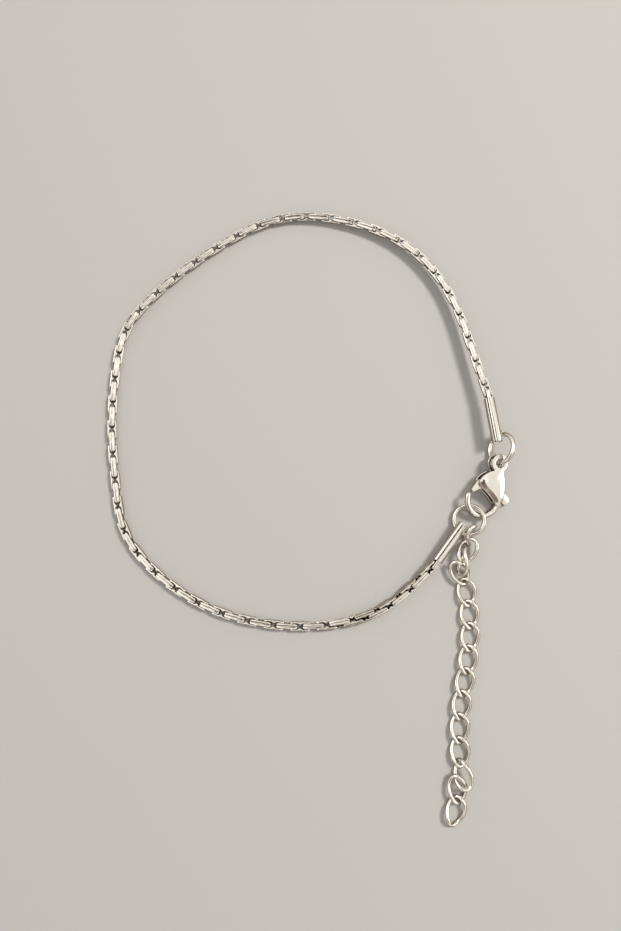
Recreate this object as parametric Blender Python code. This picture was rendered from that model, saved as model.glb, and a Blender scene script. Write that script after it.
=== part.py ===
"""Cobra chain bracelet, lying closed on a flat surface, with its extension chain stretched out below it.

Long box links turned a quarter from one to the next make the main chain. It ends in two rolled tubes. A jump ring
joins each tube to the lobster clasp, and the lower ring also carries a curb extension chain.

Sizes and places below are in millimetres and degrees. Meshes are drawn in millimetres and scaled once, by MM, so the
finished objects are in metres with +Z up. The origin is on the surface, below the middle of the whole bracelet.
"""

import math

import bmesh
import bpy
import numpy as np
from mathutils import Matrix, Vector

MM = 0.001

# Main chain: flat box links, half of them upright and half lying
LINK_COUNT = 84
LINK_LENGTH = 2.86
LINK_WIDTH = 1.2
LINK_STRIP = 0.66
LINK_RAIL = 0.24
LINK_CORNER = 0.2
LINK_BITE = 0.04
CORNER_STEPS = 2

# Where the chain lies, from the upper tube round to the lower one, with its height and its twist about its own line
CHAIN_ROUTE = (
    # x, y, height, twist
    (24.63, 14.77, 2.40, -9.0),
    (22.96, 20.57, 2.05, -9.0),
    (20.03, 29.17, 1.60, -12.0),
    (14.13, 36.47, 1.25, -16.0),
    (5.43, 40.40, 0.95, -23.0),
    (-4.22, 40.74, 0.72, -28.0),
    (-12.67, 36.70, 0.70, -26.0),
    (-21.97, 29.12, 0.70, -25.0),
    (-25.50, 24.32, 0.70, -22.0),
    (-26.74, 18.47, 0.69, -18.0),
    (-26.96, 9.97, 0.675, -14.0),
    (-26.07, 1.72, 0.64, -7.0),
    (-24.72, -3.93, 0.61, 0.0),
    (-21.27, -8.58, 0.60, 0.0),
    (-11.72, -14.68, 0.60, 0.0),
    (-6.23, -16.11, 0.60, 0.0),
    (-0.92, -16.57, 0.61, 0.0),
    (4.53, -16.18, 0.67, 8.0),
    (9.78, -14.43, 0.84, 32.0),
    (16.88, -8.45, 1.46, 36.0),
)

# Rolled end tubes, each with an ear for its ring
TUBE_LENGTH = 6.1
TUBE_RADIUS = 0.70
TUBE_WALL = 0.16
TUBE_SEAM = 0.16
TUBE_SIDES = 16
TUBE_GAP = 0.20
POST_RADIUS = 0.30
POST_REACH = 2.0
EAR_RADIUS = 0.62
EAR_HOLE = 0.36
EAR_THICKNESS = 0.24
EAR_REACH = 1.22
EAR_FROM_END = 1.06
EAR_SIDES = 14
# Each tube's heading and rise, and where its ear and its seam are, turned about its axis from straight down
TOP_TUBE = {"heading": -81.9, "rise": 1.8, "ear": 55.0, "seam": 220.0}
LOW_TUBE = {"heading": 53.9, "rise": 4.5, "ear": -12.0, "seam": 168.0}

# Jump rings
RING_RADIUS = 2.0
RING_WIRE = 0.52
RING_SEGMENTS = 16
WIRE_SIDES = 6
# Each ring's middle, how far its right side is raised and how far its far side is
TOP_RING = {"centre": (26.32, 7.19, 2.08), "lean": 57.0, "nod": -7.0}
LOW_RING = {"centre": (21.91, -2.46, 1.14), "lean": 15.5, "nod": 1.0}

# Lobster clasp, drawn flat: the eye is at its origin and the hook below it
CLASP_EYE = (25.85, 5.22, 1.82)
CLASP_HEADING = 74.0
CLASP_PITCH = 6.5
CLASP_ROLL = 17.5
CHANNEL = 0.74
CHEEK = 0.32
CHEEK_DOME = 0.24
DOME_INSET = 0.34
EYE_RADIUS = 1.15
EYE_HOLE = 0.66
HOOK_CENTRE = (-0.72, -5.30)
HOOK_RADIUS = 2.25
HOOK_WIRE = 0.62
HOOK_START = 0.0
HOOK_END = -192.0
HOOK_STEPS = 14
HOOK_SWELL = 0.25
HOOK_TIP = (0.80, 0.55)
SPINE = {"centre": (0.70, -1.58), "radius": 0.34}
ROOT = {"centre": (1.36, -5.38), "radius": 0.36}
PIVOT = (0.15, -3.20)
PIN_RADIUS = 0.26
PIN_GAP = 0.05
LEVER_THICKNESS = 0.60
LEVER_BORE = 0.34
LUG_REACH = 2.64
LUG_RADIUS = 0.58
LUG_ANGLE = -30.0
PIN_SIDES = 12

# Outlines of the side plate below its eye, of the raised flat on it, and of the lever about its pivot
SHOULDER = ((-0.85, -1.26), (-1.55, -1.80), (-2.05, -2.42), (-2.24, -2.95), (-2.10, -3.45), (-1.65, -3.85))
INNER_EDGE = ((-0.55, -4.40), (0.35, -4.98), (0.90, -5.45))
HEEL = {"centre": (1.32, -5.42), "radius": 0.40}
OUTER_EDGE = ((1.72, -4.70), (1.70, -3.90), (1.62, -3.10), (1.38, -2.25), (1.02, -1.45))
DOME_EDGE = ((-0.55, -1.50), (-1.45, -2.05), (-2.00, -2.75), (-1.95, -3.30), (-0.45, -4.12), (0.45, -4.70),
             (1.05, -5.15), (1.50, -4.70), (1.50, -3.90), (1.42, -3.10), (1.18, -2.25), (0.70, -1.50))
LEVER_EDGE = ((0.75, 0.25), (0.40, 0.60), (-0.25, 0.66), (-1.20, 0.62), (-1.95, 0.50), (-2.45, 0.20),
              (-3.04, -1.24), (-2.66, -1.56), (-1.88, -0.92), (-1.00, -0.60), (0.10, -0.70), (0.60, -0.85))

# Extension chain of curb links
CURB_PITCH = 2.95
CURB_WIRE = 0.48
CURB_SLACK = 0.18
CURB_WIDTH = 2.72
CURB_TWIST = 34.0
CURB_SEGMENTS = 14
CURB_REST = 0.555

# Line of the straight run, links 5 to 12, from their first joint to their last
RUN_FIRST = 5
RUN_COUNT = 8
RUN_ROUTE = (
    # x, y
    (21.23, -10.63),
    (21.73, -14.43),
    (21.63, -19.23),
    (20.58, -25.03),
    (20.08, -28.33),
    (19.98, -34.03),
)

# Links that lie over each other, by middle, heading, dip towards the free end and roll
LOOSE_LINKS = (
    # number, x, y, z, heading, dip, roll
    (1, 21.73, -4.42, 1.87, -94.0, 57.3, 105.4),
    (2, 21.55, -6.62, 1.16, -121.8, -0.6, -2.9),
    (3, 20.98, -7.96, 1.36, -100.6, 5.0, 83.5),
    (4, 20.52, -9.47, 1.04, -53.7, 21.9, 3.5),
    (13, 20.10, -35.16, 1.19, -79.0, -15.0, 35.0),
    (14, 19.44, -37.07, 0.87, -82.0, 11.0, -1.0),
    (15, 19.17, -39.82, 0.61, -106.0, 1.0, 0.0),
)

STEEL = (0.78, 0.77, 0.75, 1.0)
ROUTE_SAMPLES = 4000


def clear_scene():
    for item in list(bpy.data.objects):
        bpy.data.objects.remove(item)


def steel(name, roughness):
    """A polished steel of its own for one kind of piece."""
    material = bpy.data.materials.new(name)
    material.use_nodes = True
    shader = material.node_tree.nodes["Principled BSDF"]
    shader.inputs["Base Color"].default_value = STEEL
    shader.inputs["Metallic"].default_value = 1.0
    shader.inputs["Roughness"].default_value = roughness
    return material


def evaluated_mesh(item):
    """The item's mesh with its modifiers applied. The item itself is removed."""
    bpy.context.view_layer.update()
    graph = bpy.context.evaluated_depsgraph_get()
    mesh = bpy.data.meshes.new_from_object(item.evaluated_get(graph))
    bpy.data.objects.remove(item)
    return mesh


def temporary(data):
    item = bpy.data.objects.new("draft", data)
    drafts.objects.link(item)
    return item


def welded(mesh, distance=0.0001):
    work = bmesh.new()
    work.from_mesh(mesh)
    bmesh.ops.remove_doubles(work, verts=work.verts, dist=distance)
    bmesh.ops.recalc_face_normals(work, faces=work.faces)
    work.to_mesh(mesh)
    work.free()
    return mesh


def moved(mesh, matrix):
    copy = mesh.copy()
    copy.transform(matrix)
    return copy


def joined(meshes):
    """One mesh that holds separate copies of all the meshes."""
    work = bmesh.new()
    for mesh in meshes:
        work.from_mesh(mesh)
    result = bpy.data.meshes.new("joined")
    work.to_mesh(result)
    work.free()
    return result


def united(base, others):
    """The mesh united with each of the others in turn."""
    for other in others:
        item = temporary(base)
        cutter = temporary(other)
        cutter.hide_render = True
        cutter.display_type = "WIRE"
        fuse = item.modifiers.new("fuse", "BOOLEAN")
        fuse.operation = "UNION"
        fuse.solver = "EXACT"
        fuse.object = cutter
        base = evaluated_mesh(item)
        bpy.data.objects.remove(cutter)
    return base


def plate(outlines, thickness):
    """A flat solid of this thickness, centred on its plane; outlines after the first are holes."""
    curve = bpy.data.curves.new("outline", "CURVE")
    curve.dimensions = "2D"
    curve.fill_mode = "BOTH"
    curve.extrude = thickness / 2
    for outline in outlines:
        spline = curve.splines.new("POLY")
        spline.points.add(len(outline) - 1)
        for point, (x, y) in zip(spline.points, outline):
            point.co = (x, y, 0.0, 1.0)
        spline.use_cyclic_u = True
    return welded(evaluated_mesh(temporary(curve)))


def swept_wire(points, thickness, closed, radii=None):
    """A round wire along the points."""
    curve = bpy.data.curves.new("wire", "CURVE")
    curve.dimensions = "3D"
    curve.bevel_depth = thickness / 2
    curve.bevel_resolution = 1
    curve.use_fill_caps = True
    spline = curve.splines.new("POLY")
    spline.points.add(len(points) - 1)
    for index, point in enumerate(points):
        spline.points[index].co = (*point, 1.0)
        spline.points[index].radius = radii[index] if radii else 1.0
    spline.use_cyclic_u = closed
    return welded(evaluated_mesh(temporary(curve)))


def cylinder(radius, height, sides, matrix=Matrix.Identity(4)):
    work = bmesh.new()
    bmesh.ops.create_cone(work, cap_ends=True, segments=sides, radius1=radius, radius2=radius, depth=height,
                          matrix=matrix)
    mesh = bpy.data.meshes.new("cylinder")
    work.to_mesh(mesh)
    work.free()
    return mesh


def arc(centre, radius, start, end, steps):
    """Points on an arc, with both its ends, from one angle to another."""
    angles = (math.radians(start + (end - start) * step / steps) for step in range(steps + 1))
    return [(centre[0] + radius * math.cos(angle), centre[1] + radius * math.sin(angle)) for angle in angles]


def circle(centre, radius, sides):
    return arc(centre, radius, 0.0, 360.0, sides)[:-1]


def direction(heading, rise):
    """A unit vector at this heading, anticlockwise from +X, and this angle above the surface."""
    heading, rise = math.radians(heading), math.radians(rise)
    return Vector((math.cos(heading) * math.cos(rise), math.sin(heading) * math.cos(rise), math.sin(rise)))


def placed(origin, along, roll=0.0):
    """A frame at the origin with X along the direction and Z as near upright as it can be, then rolled about X."""
    x_axis = Vector(along).normalized()
    y_axis = Vector((0.0, 0.0, 1.0)).cross(x_axis).normalized()
    z_axis = x_axis.cross(y_axis)
    turn = Matrix((x_axis, y_axis, z_axis)).transposed().to_4x4()
    return Matrix.Translation(origin) @ turn @ Matrix.Rotation(math.radians(roll), 4, "X")


def smooth_route(rows, count):
    """Evenly spaced rows, both ends among them, on a natural cubic spline through the given rows."""
    rows = np.array(rows)
    knots = np.concatenate(([0.0], np.cumsum(np.linalg.norm(np.diff(rows[:, :2], axis=0), axis=1))))
    gaps = np.diff(knots)
    slopes = np.diff(rows, axis=0) / gaps[:, None]
    system = np.eye(len(rows))
    changes = np.zeros_like(rows)
    for index in range(1, len(rows) - 1):
        before, after = gaps[index - 1], gaps[index]
        system[index, index - 1:index + 2] = before, 2 * (before + after), after
        changes[index] = 6 * (slopes[index] - slopes[index - 1])
    bends = np.linalg.solve(system, changes)
    places = np.linspace(0.0, knots[-1], ROUTE_SAMPLES)
    spans = np.clip(np.searchsorted(knots, places) - 1, 0, len(gaps) - 1)
    gap = gaps[spans][:, None]
    after = (places - knots[spans])[:, None] / gap
    before = 1.0 - after
    samples = (before * rows[spans] + after * rows[spans + 1]
               + gap ** 2 / 6 * ((before ** 3 - before) * bends[spans] + (after ** 3 - after) * bends[spans + 1]))
    travelled = np.concatenate(([0.0], np.cumsum(np.linalg.norm(np.diff(samples[:, :3], axis=0), axis=1))))
    stops = np.linspace(0.0, travelled[-1], count)
    return np.column_stack([np.interp(stops, travelled, column) for column in samples.T])


def piece(name, mesh, material, matrix=Matrix.Identity(4), parent=None):
    """Adds a finished piece. Its mesh and its place change from millimetres to metres here."""
    mesh.transform(Matrix.Scale(MM, 4))
    mesh.name = name
    item = bpy.data.objects.new(name, mesh)
    bracelet.objects.link(item)
    item.data.materials.append(material)
    item.parent = parent
    place = matrix.copy()
    place.translation *= MM
    item.matrix_local = place
    return item


def shade_round(mesh, angle=40.0):
    mesh.shade_smooth()
    mesh.set_sharp_from_angle(angle=math.radians(angle))
    return mesh


def box_link(pitch):
    """One link of the main chain, its length along X and its opening along Z."""
    half_length, half_width = LINK_LENGTH / 2, LINK_WIDTH / 2
    outer = []
    for quarter, (side_x, side_y) in enumerate(((1, 1), (-1, 1), (-1, -1), (1, -1))):
        corner = (side_x * (half_length - LINK_CORNER), side_y * (half_width - LINK_CORNER))
        outer += arc(corner, LINK_CORNER, 90.0 * quarter, 90.0 * (quarter + 1), CORNER_STEPS)
    half_hole, half_slot = (pitch - LINK_BITE) / 2, half_width - LINK_RAIL
    inner = [(half_hole, half_slot), (-half_hole, half_slot), (-half_hole, -half_slot), (half_hole, -half_slot)]
    return plate([outer, inner], LINK_STRIP)


def main_chain():
    """The fused chain with a post at each end, and the frames of the two tubes that cover the posts."""
    joints = smooth_route(CHAIN_ROUTE, LINK_COUNT + 1)
    steps = np.diff(joints[:, :3], axis=0)
    link = box_link(float(np.linalg.norm(steps, axis=1).mean()))
    lying, upright = [], []
    for index, step in enumerate(steps):
        middle = (joints[index] + joints[index + 1]) / 2
        turned = 90.0 * (index % 2)
        place = placed(middle[:3], step, middle[3] + turned)
        (upright if turned else lying).append(moved(link, place))
    overhang = (LINK_LENGTH / float(np.linalg.norm(steps[0])) - 1.0) / 2
    tubes = [tube_place(joints[0, :3] - steps[0] * overhang, TOP_TUBE),
             tube_place(joints[-1, :3] + steps[-1] * overhang, LOW_TUBE)]
    root = TUBE_GAP + LINK_STRIP / 2
    post = cylinder(POST_RADIUS, POST_REACH + root, WIRE_SIDES * 2, Matrix.Rotation(math.radians(90.0), 4, "Y"))
    shift = Matrix.Translation(((POST_REACH - root) / 2, 0.0, 0.0))
    upright.append(moved(post, tubes[0] @ shift))
    lying.append(moved(post, tubes[1] @ shift))
    return united(joined(lying), [joined(upright)]), tubes


def end_tube(tube):
    """A rolled tube from its mouth along X, with the seam open and an ear standing out near the far end."""
    gap = math.degrees(TUBE_SEAM / TUBE_RADIUS)
    outer = arc((0.0, 0.0), TUBE_RADIUS, gap / 2, 360.0 - gap / 2, TUBE_SIDES)
    inner = arc((0.0, 0.0), TUBE_RADIUS - TUBE_WALL, 360.0 - gap / 2, gap / 2, TUBE_SIDES)
    lengthwise = Matrix.Rotation(math.radians(90.0), 4, "Y")
    barrel = plate([outer + inner], TUBE_LENGTH)
    barrel.transform(Matrix.Rotation(math.radians(tube["seam"]), 4, "X") @ lengthwise
                     @ Matrix.Translation((0.0, 0.0, TUBE_LENGTH / 2)))
    ear = plate([circle((0.0, 0.0), EAR_RADIUS, EAR_SIDES), circle((0.0, 0.0), EAR_HOLE, EAR_SIDES)],
                EAR_THICKNESS)
    ear.transform(Matrix.Rotation(math.radians(tube["ear"]), 4, "X")
                  @ Matrix.Translation((TUBE_LENGTH - EAR_FROM_END, 0.0, -EAR_REACH))
                  @ Matrix.Rotation(math.radians(90.0), 4, "X"))
    return united(barrel, [ear])


def tube_place(chain_end, tube):
    """Frame of a tube whose mouth is just clear of the chain's end."""
    along = direction(tube["heading"], tube["rise"])
    return placed(Vector(chain_end) + along * TUBE_GAP, along)


def jump_ring(name, material, ring):
    bpy.ops.mesh.primitive_torus_add(major_segments=RING_SEGMENTS, minor_segments=WIRE_SIDES,
                                     major_radius=RING_RADIUS, minor_radius=RING_WIRE / 2)
    mesh = evaluated_mesh(bpy.context.object)
    place = (Matrix.Translation(ring["centre"]) @ Matrix.Rotation(math.radians(-ring["lean"]), 4, "Y")
             @ Matrix.Rotation(math.radians(ring["nod"]), 4, "X"))
    return piece(name, shade_round(mesh), material, place)


def cheek_outline():
    """Outline of one side plate: round the eye, down the inner side to the hook's root and up the outer side."""
    eye = arc((0.0, 0.0), EYE_RADIUS, -48.0, 250.0, 12)
    heel = arc(HEEL["centre"], HEEL["radius"], 190.0, 360.0, 4)
    return eye + list(SHOULDER) + list(INNER_EDGE) + heel + list(OUTER_EDGE)


def cheek():
    """The upper side plate, its inner face half the channel above the middle, with a raised flat on its body."""
    sheet = plate([cheek_outline(), circle((0.0, 0.0), EYE_HOLE, PIN_SIDES)], CHEEK)
    dome = plate([DOME_EDGE], CHEEK)
    work = bmesh.new()
    work.from_mesh(dome)
    top = [face for face in work.faces if face.normal.z > 0.5]
    bmesh.ops.inset_region(work, faces=top, thickness=DOME_INSET, depth=CHEEK_DOME, use_even_offset=True)
    work.to_mesh(dome)
    work.free()
    lift = Matrix.Translation((0.0, 0.0, CHANNEL / 2 + CHEEK / 2))
    sheet.transform(lift)
    dome.transform(lift @ Matrix.Translation((0.0, 0.0, CHEEK / 4)))
    return sheet, dome


def clasp_body():
    """Two side plates joined by a spine beside the neck and by the root of the hook."""
    sheet, dome = cheek()
    turned = Matrix.Rotation(math.radians(180.0), 4, "Y") @ Matrix.Scale(-1.0, 4, (1.0, 0.0, 0.0))
    lower = [welded(moved(mesh, turned)) for mesh in (sheet, dome)]
    height = CHANNEL + CHEEK
    posts = [cylinder(post["radius"], height, PIN_SIDES, Matrix.Translation((*post["centre"], 0.0)))
             for post in (SPINE, ROOT)]
    route = arc(HOOK_CENTRE, HOOK_RADIUS, HOOK_START, HOOK_END, HOOK_STEPS)
    swell = [1.0 + HOOK_SWELL * max(0.0, 1.0 - 3.0 * step / HOOK_STEPS) for step in range(HOOK_STEPS - 1)]
    hook = swept_wire([(x, y, 0.0) for x, y in route], HOOK_WIRE, False, swell + list(HOOK_TIP))
    return united(sheet, [dome, *posts, hook, *lower])


def lever():
    """The gate: a plate on the pin, one arm to the hook's tip and one to the thumb lug. Its origin is the pivot."""
    lug = (LUG_REACH * math.cos(math.radians(LUG_ANGLE)), LUG_REACH * math.sin(math.radians(LUG_ANGLE)))
    outline = arc(lug, LUG_RADIUS, LUG_ANGLE - 90.0, LUG_ANGLE + 90.0, 6) + list(LEVER_EDGE)
    return plate([outline, circle((0.0, 0.0), LEVER_BORE, PIN_SIDES)], LEVER_THICKNESS)


def curb_link():
    """A twisted oval link, its length along X."""
    half_length = (CURB_PITCH + CURB_SLACK + CURB_WIRE) / 2
    half_width = (CURB_WIDTH - CURB_WIRE) / 2
    points = []
    for step in range(CURB_SEGMENTS):
        angle = 2 * math.pi * step / CURB_SEGMENTS
        along, across = math.sin(angle), half_width * math.cos(angle)
        twist = math.radians(-CURB_TWIST * along)
        points.append((half_length * along, across * math.cos(twist), across * math.sin(twist)))
    return shade_round(swept_wire(points, CURB_WIRE, True))


def extension_places():
    """Where each link of the extension chain is, by its number."""
    places = {}
    joints = smooth_route(RUN_ROUTE, RUN_COUNT + 1)
    for index in range(RUN_COUNT):
        start, end = joints[index], joints[index + 1]
        middle = (start + end) / 2
        step = end - start
        places[RUN_FIRST + index] = placed((middle[0], middle[1], CURB_REST), (step[0], step[1], 0.0))
    for number, x, y, z, heading, dip, roll in LOOSE_LINKS:
        places[number] = placed((x, y, z), direction(heading, -dip), roll)
    return places


def build():
    polished = steel("polished_steel", 0.16)
    satin = steel("satin_steel", 0.30)
    chain, (top_tube, low_tube) = main_chain()
    piece("cobra_chain", chain, polished)
    piece("end_tube_top", shade_round(end_tube(TOP_TUBE)), polished, top_tube)
    piece("end_tube_low", shade_round(end_tube(LOW_TUBE)), polished, low_tube)

    clasp = bpy.data.objects.new("clasp_frame", None)
    bracelet.objects.link(clasp)
    towards_eye = direction(CLASP_HEADING, CLASP_PITCH)
    upright = placed(Vector(CLASP_EYE), towards_eye) @ Matrix.Rotation(math.radians(-90.0), 4, "Z")
    place = upright @ Matrix.Rotation(math.radians(CLASP_ROLL), 4, "Y")
    place.translation *= MM
    clasp.matrix_local = place
    piece("clasp_body", shade_round(clasp_body(), 30.0), polished, parent=clasp)
    pivot = Matrix.Translation((*PIVOT, 0.0))
    piece("clasp_pin", shade_round(cylinder(PIN_RADIUS, CHANNEL - 2 * PIN_GAP, PIN_SIDES)), satin, pivot, clasp)
    piece("clasp_lever", shade_round(lever()), satin, pivot, clasp)

    jump_ring("jump_ring_top", polished, TOP_RING)
    jump_ring("jump_ring_low", polished, LOW_RING)

    link = curb_link()
    for number, matrix in sorted(extension_places().items()):
        piece(f"extension_link_{number:02d}", link.copy(), polished, matrix)


clear_scene()
bracelet = bpy.data.collections.new("cobra_chain_bracelet")
bpy.context.scene.collection.children.link(bracelet)
drafts = bpy.data.collections.new("drafts")
bpy.context.scene.collection.children.link(drafts)
build()
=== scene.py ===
"""Looks of the cobra chain bracelet, lying closed on a pale surface.

Every piece is drawn in millimetres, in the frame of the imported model, and scaled to metres when it is finished.
"""

import logging
import math
from dataclasses import dataclass, field, replace
from enum import Enum
from functools import cache
from typing import ClassVar, Optional, Sequence, Union

import bmesh
import bpy
import numpy as np
from mathutils import Matrix, Vector
from mathutils.geometry import delaunay_2d_cdt


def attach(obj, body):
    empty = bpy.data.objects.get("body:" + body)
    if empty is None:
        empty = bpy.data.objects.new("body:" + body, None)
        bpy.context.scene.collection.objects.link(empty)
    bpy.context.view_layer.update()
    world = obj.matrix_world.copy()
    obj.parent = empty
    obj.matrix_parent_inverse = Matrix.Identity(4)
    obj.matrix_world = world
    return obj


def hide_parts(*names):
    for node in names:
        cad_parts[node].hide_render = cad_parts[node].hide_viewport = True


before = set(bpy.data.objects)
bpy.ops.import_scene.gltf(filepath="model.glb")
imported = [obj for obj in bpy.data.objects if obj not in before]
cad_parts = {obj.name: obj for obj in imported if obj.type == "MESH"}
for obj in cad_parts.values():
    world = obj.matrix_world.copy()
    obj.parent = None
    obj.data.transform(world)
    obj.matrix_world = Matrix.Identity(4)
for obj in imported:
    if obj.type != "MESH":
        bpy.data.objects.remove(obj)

log = logging.getLogger("bracelet")

MM = 0.001
MAIN_BODY = "bracelet"
LEVER_BODY = "lever"
SNAP = 0.001  # places that are this near, in millimetres, are the same
SHARP_ANGLE = math.radians(50.0)  # corners over this angle stay sharp
CORNER_CUT = 0.25  # share of a side that softening cuts off at each of its ends

Point = tuple[float, float]
Row = tuple[float, ...]
Mesh = bpy.types.Mesh
Socket = bpy.types.NodeSocket
Inputs = dict[Union[str, int], object]


class Slot(Enum):
    """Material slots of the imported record."""

    POLISHED = "polished_steel"
    SATIN = "satin_steel"


def direction(heading: float, rise: float) -> Vector:
    """The unit vector at degrees anticlockwise from +X and degrees above the surface."""
    heading, rise = math.radians(heading), math.radians(rise)
    return Vector((math.cos(heading) * math.cos(rise), math.sin(heading) * math.cos(rise), math.sin(rise)))


def turned(angle: float, axis: str) -> Matrix:
    """A turn of so many degrees about one axis."""
    return Matrix.Rotation(math.radians(angle), 4, axis)


def placed(origin: Sequence[float], along: Sequence[float], roll: float = 0.0) -> Matrix:
    """Makes a frame with X along a direction and Z as near upright as it can be.

    Args:
        origin: The frame's origin.
        along: The direction of X.
        roll: Degrees that the frame is then rolled about X.

    Returns:
        The frame.
    """
    x_axis = Vector(along).normalized()
    y_axis = Vector((0.0, 0.0, 1.0)).cross(x_axis).normalized()
    turn = Matrix((x_axis, y_axis, x_axis.cross(y_axis))).transposed().to_4x4()
    return Matrix.Translation(origin) @ turn @ turned(roll, "X")


def on_circle(centre: Point, radius: float, angle: float) -> Point:
    """The point of a circle at an angle in degrees."""
    angle = math.radians(angle)
    return centre[0] + radius * math.cos(angle), centre[1] + radius * math.sin(angle)


def arc(centre: Point, radius: float, start: float, end: float, steps: int) -> list[Point]:
    """Draws an arc between two angles in degrees as so many chords, with both its ends."""
    return [on_circle(centre, radius, start + (end - start) * step / steps) for step in range(steps + 1)]


def softened(outline: Sequence[Point], rounds: int) -> np.ndarray:
    """Rounds the corners of a closed outline by cutting them again and again.

    Args:
        outline: The outline's points.
        rounds: How many times its corners are cut.

    Returns:
        The rounder outline, a row for each point.
    """
    points = np.array(outline, dtype=float)
    for _ in range(rounds):
        following = np.roll(points, -1, axis=0)
        step = CORNER_CUT * (following - points)
        points = np.stack((points + step, following - step), axis=1).reshape(-1, 2)
    return points


def respaced(outline: np.ndarray, spacing: float) -> np.ndarray:
    """Spreads points evenly along a closed outline.

    Args:
        outline: The outline, a row for each point.
        spacing: The distance wanted between neighbours.

    Returns:
        The evenly spaced outline.
    """
    closed = np.vstack((outline, outline[:1]))
    travelled = np.concatenate(([0.0], np.cumsum(np.linalg.norm(np.diff(closed, axis=0), axis=1))))
    stops = np.linspace(0.0, travelled[-1], max(3, round(travelled[-1] / spacing)), endpoint=False)
    return np.column_stack([np.interp(stops, travelled, column) for column in closed.T])


def depth_inside(points: np.ndarray, outline: np.ndarray) -> np.ndarray:
    """Measures how far inside a closed outline points are.

    Args:
        points: The points, a row for each.
        outline: The outline, a row for each point.

    Returns:
        The distance of each point to the outline, negative outside it.
    """
    start, end = outline, np.roll(outline, -1, axis=0)
    side = end - start
    offset = points[:, None, :] - start[None]
    share = np.clip((offset * side).sum(-1) / (side ** 2).sum(-1), 0.0, 1.0)
    distance = np.linalg.norm(offset - share[..., None] * side, axis=-1).min(axis=1)
    above = (start[None, :, 1] > points[:, None, 1]) != (end[None, :, 1] > points[:, None, 1])
    rise = np.where(side[:, 1] == 0.0, 1.0, side[:, 1])
    crossing = start[None, :, 0] + side[None, :, 0] * (points[:, None, 1] - start[None, :, 1]) / rise
    inside = (above & (points[:, None, 0] < crossing)).sum(axis=1) % 2 == 1
    return np.where(inside, distance, -distance)


def ramp(value: np.ndarray, softness: float) -> np.ndarray:
    """Rises from 0 to 1 as the value does, with turns at both ends that are as soft as told."""
    return (np.sqrt(value ** 2 + softness ** 2) - np.sqrt((value - 1.0) ** 2 + softness ** 2) + 1.0) / 2


def flat(points: Sequence[Point]) -> list[Vector]:
    """Lays the points of a drawing on the XY plane."""
    return [Vector((*point, 0.0)) for point in points]


def written(work: bmesh.types.BMesh, name: str) -> Mesh:
    """Writes a working mesh out.

    Args:
        work: The working mesh, which is freed.
        name: The new mesh's name.

    Returns:
        The new mesh.
    """
    mesh = bpy.data.meshes.new(name)
    work.to_mesh(mesh)
    work.free()
    return mesh


def added(name: str, data: bpy.types.ID) -> bpy.types.Object:
    """Adds an object to the scene.

    Args:
        name: Its name.
        data: Its mesh, light or camera.

    Returns:
        The object.
    """
    item = bpy.data.objects.new(name, data)
    bpy.context.scene.collection.objects.link(item)
    return item


def loft(sections: Sequence[Sequence[Vector]], closed: bool) -> Mesh:
    """Joins closed sections, one after the other, into a solid skin.

    Args:
        sections: Loops with the same number of points.
        closed: Whether the last section joins the first. An open loft gets a cap at each end.

    Returns:
        The mesh, facing outwards and shaded smooth.
    """
    work = bmesh.new()
    loops = [[work.verts.new(point) for point in section] for section in sections]
    pairs = list(zip(loops, loops[1:]))
    if closed:
        pairs.append((loops[-1], loops[0]))
    for near, far in pairs:
        for index, corner in enumerate(near):
            after = (index + 1) % len(near)
            work.faces.new((corner, near[after], far[after], far[index]))
    if not closed:
        work.faces.new(reversed(loops[0]))
        work.faces.new(loops[-1])
    bmesh.ops.recalc_face_normals(work, faces=work.faces)
    mesh = written(work, "loft")
    mesh.shade_smooth()
    return mesh


def round_wire(points: Sequence[Vector], centre: Vector, radii: Sequence[float], sides: int, closed: bool,
               heights: Optional[Sequence[float]] = None) -> Mesh:
    """Sweeps a round or oval section along points that bend about a centre.

    Args:
        points: The wire's middle line.
        centre: The point that it bends about.
        radii: The wire's radius at each point.
        sides: How many sides the section has.
        closed: Whether the wire is a closed loop.
        heights: The wire's other radius at each point, square to the bend, if the wire is oval.

    Returns:
        The wire's mesh.
    """
    sections = []
    last = len(points) - 1
    for index, point in enumerate(points):
        before = points[index - 1] if index or closed else point
        after = points[(index + 1) % len(points)] if index < last or closed else point
        tangent = (after - before).normalized()
        outward = point - centre
        outward = (outward - tangent * outward.dot(tangent)).normalized()
        across = tangent.cross(outward) * (heights or radii)[index]
        angles = (2 * math.pi * side / sides for side in range(sides))
        sections.append([point + outward * math.cos(angle) * radii[index] + across * math.sin(angle)
                         for angle in angles])
    return loft(sections, closed)


def rounded_section(width: float, height: float, radius: float, steps: int = 3) -> list[Point]:
    """Draws a rectangle with round corners, centred on the origin.

    Args:
        width: Its size along the first axis.
        height: Its size along the second axis.
        radius: The radius of its corners.
        steps: How many chords a corner has.

    Returns:
        Its points, anticlockwise.
    """
    points = []
    for quarter, (side_x, side_y) in enumerate(((1, 1), (-1, 1), (-1, -1), (1, -1))):
        centre = (side_x * (width / 2 - radius), side_y * (height / 2 - radius))
        points += arc(centre, radius, 90.0 * quarter, 90.0 * (quarter + 1), steps)
    return points


def settled(item: bpy.types.Object) -> Mesh:
    """Applies an object's modifiers.

    Args:
        item: The object, which is removed.

    Returns:
        Its evaluated mesh.
    """
    bpy.context.view_layer.update()
    graph = bpy.context.evaluated_depsgraph_get()
    mesh = bpy.data.meshes.new_from_object(item.evaluated_get(graph))
    bpy.data.objects.remove(item)
    return mesh


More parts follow.
